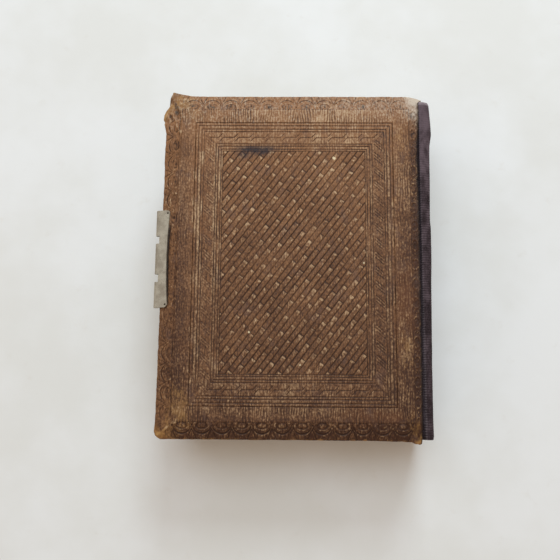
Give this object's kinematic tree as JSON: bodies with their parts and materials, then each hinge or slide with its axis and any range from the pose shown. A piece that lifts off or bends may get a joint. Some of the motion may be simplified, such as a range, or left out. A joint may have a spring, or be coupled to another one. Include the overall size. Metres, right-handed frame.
{
  "type": "prayer book",
  "caption": "Small thick prayer book: embossed leather covers on boards, sewn text block, rounded spine under a ribbed repair tape, and a clasp hinge leaf on the fore-edge.",
  "frame": {"origin": "on the surface that the book lies on, under the middle of its bounding box", "axes": "+X from the fore-edge to the spine, +Y from tail to head, +Z from the front cover to the back cover, which is uppermost"},
  "size_m": [0.1212, 0.152, 0.046],
  "materials": {
    "cover_leather": "worn, embossed",
    "board": "dense pulp board",
    "endpaper": "matt, toned",
    "text_paper": "matt, toned edges",
    "spine_tape": "ribbed grosgrain",
    "lining_cloth": "open weave cloth under glue",
    "sewing_cord": "twisted hemp",
    "sewing_thread": "waxed linen",
    "end_band": "two-colour silk",
    "clasp_metal": "dull nickel silver",
    "clasp_pin": "tarnished"
  },
  "bodies": {
    "front_cover": {"front_leather": "cover_leather", "front_board": "board", "front_pastedown": "endpaper", "front_tape_flap": "spine_tape", "catch_plate": "clasp_metal", "catch_pins": "clasp_pin"},
    "front_flyleaf": {"front_flyleaf": "endpaper"},
    "front_block": {"section_01": "text_paper", "section_02": "text_paper", "section_03": "text_paper", "section_04": "text_paper", "section_05": "text_paper", "section_06": "text_paper", "section_07": "text_paper", "section_08": "text_paper", "section_09": "text_paper", "section_10": "text_paper", "spine_lining_front": "lining_cloth", "spine_tape_front": "spine_tape", "sewing_cords_front": "sewing_cord", "sewing_thread_front": "sewing_thread", "head_band_front": "end_band", "tail_band_front": "end_band"},
    "middle_leaf_1": {"middle_leaf_1": "text_paper"},
    "middle_leaf_2": {"middle_leaf_2": "text_paper"},
    "middle_leaf_3": {"middle_leaf_3": "text_paper"},
    "rear_block": {"section_11": "text_paper", "section_12": "text_paper", "section_13": "text_paper", "section_14": "text_paper", "section_15": "text_paper", "section_16": "text_paper", "section_17": "text_paper", "section_18": "text_paper", "section_19": "text_paper", "section_20": "text_paper", "spine_lining_rear": "lining_cloth", "spine_tape_rear": "spine_tape", "sewing_cords_rear": "sewing_cord", "sewing_thread_rear": "sewing_thread", "head_band_rear": "end_band", "tail_band_rear": "end_band"},
    "back_flyleaf": {"back_flyleaf": "endpaper"},
    "back_cover": {"back_leather": "cover_leather", "back_board": "board", "back_pastedown": "endpaper", "back_tape_flap": "spine_tape", "hinge_leaf": "clasp_metal", "hinge_leaf_pins": "clasp_pin"}
  },
  "joints": [
    {"name": "front_cover_hinge", "type": "hinge", "parent": "front_cover", "child": "front_block", "pos_m": [0.05541, 0, 0.0008], "axis": [0, 1, 0], "range_deg": [0, 100]},
    {"name": "text_opening", "type": "hinge", "parent": "front_block", "child": "rear_block", "pos_m": [0.06061, 0, 0.023], "axis": [0, 1, 0], "range_deg": [0, 100]},
    {"name": "back_cover_hinge", "type": "hinge", "parent": "rear_block", "child": "back_cover", "pos_m": [0.05541, 0, 0.0452], "axis": [0, 1, 0], "range_deg": [0, 100]},
    {"name": "front_flyleaf_turn", "type": "hinge", "parent": "front_block", "child": "front_flyleaf", "pos_m": [0.05361, 0, 0.0048], "axis": [0, -1, 0], "range_deg": [0, 40]},
    {"name": "back_flyleaf_turn", "type": "hinge", "parent": "rear_block", "child": "back_flyleaf", "pos_m": [0.05361, 0, 0.0412], "axis": [0, 1, 0], "range_deg": [0, 40]},
    {"name": "middle_leaf_1_turn", "type": "hinge", "parent": "front_block", "child": "middle_leaf_1", "pos_m": [0.05806, 0, 0.0227], "axis": [0, 1, 0], "range_deg": [0, 25]},
    {"name": "middle_leaf_2_turn", "type": "hinge", "parent": "front_block", "child": "middle_leaf_2", "pos_m": [0.05806, 0, 0.023], "axis": [0, 1, 0], "range_deg": [0, 50]},
    {"name": "middle_leaf_3_turn", "type": "hinge", "parent": "front_block", "child": "middle_leaf_3", "pos_m": [0.05806, 0, 0.0233], "axis": [0, 1, 0], "range_deg": [0, 75]}
  ],
  "couplings": [
    {"joint": "front_flyleaf_turn", "follows": "front_cover_hinge", "ratio": 0.4},
    {"joint": "back_flyleaf_turn", "follows": "back_cover_hinge", "ratio": 0.4},
    {"joint": "middle_leaf_1_turn", "follows": "text_opening", "ratio": 0.25},
    {"joint": "middle_leaf_2_turn", "follows": "text_opening", "ratio": 0.5},
    {"joint": "middle_leaf_3_turn", "follows": "text_opening", "ratio": 0.75}
  ]
}
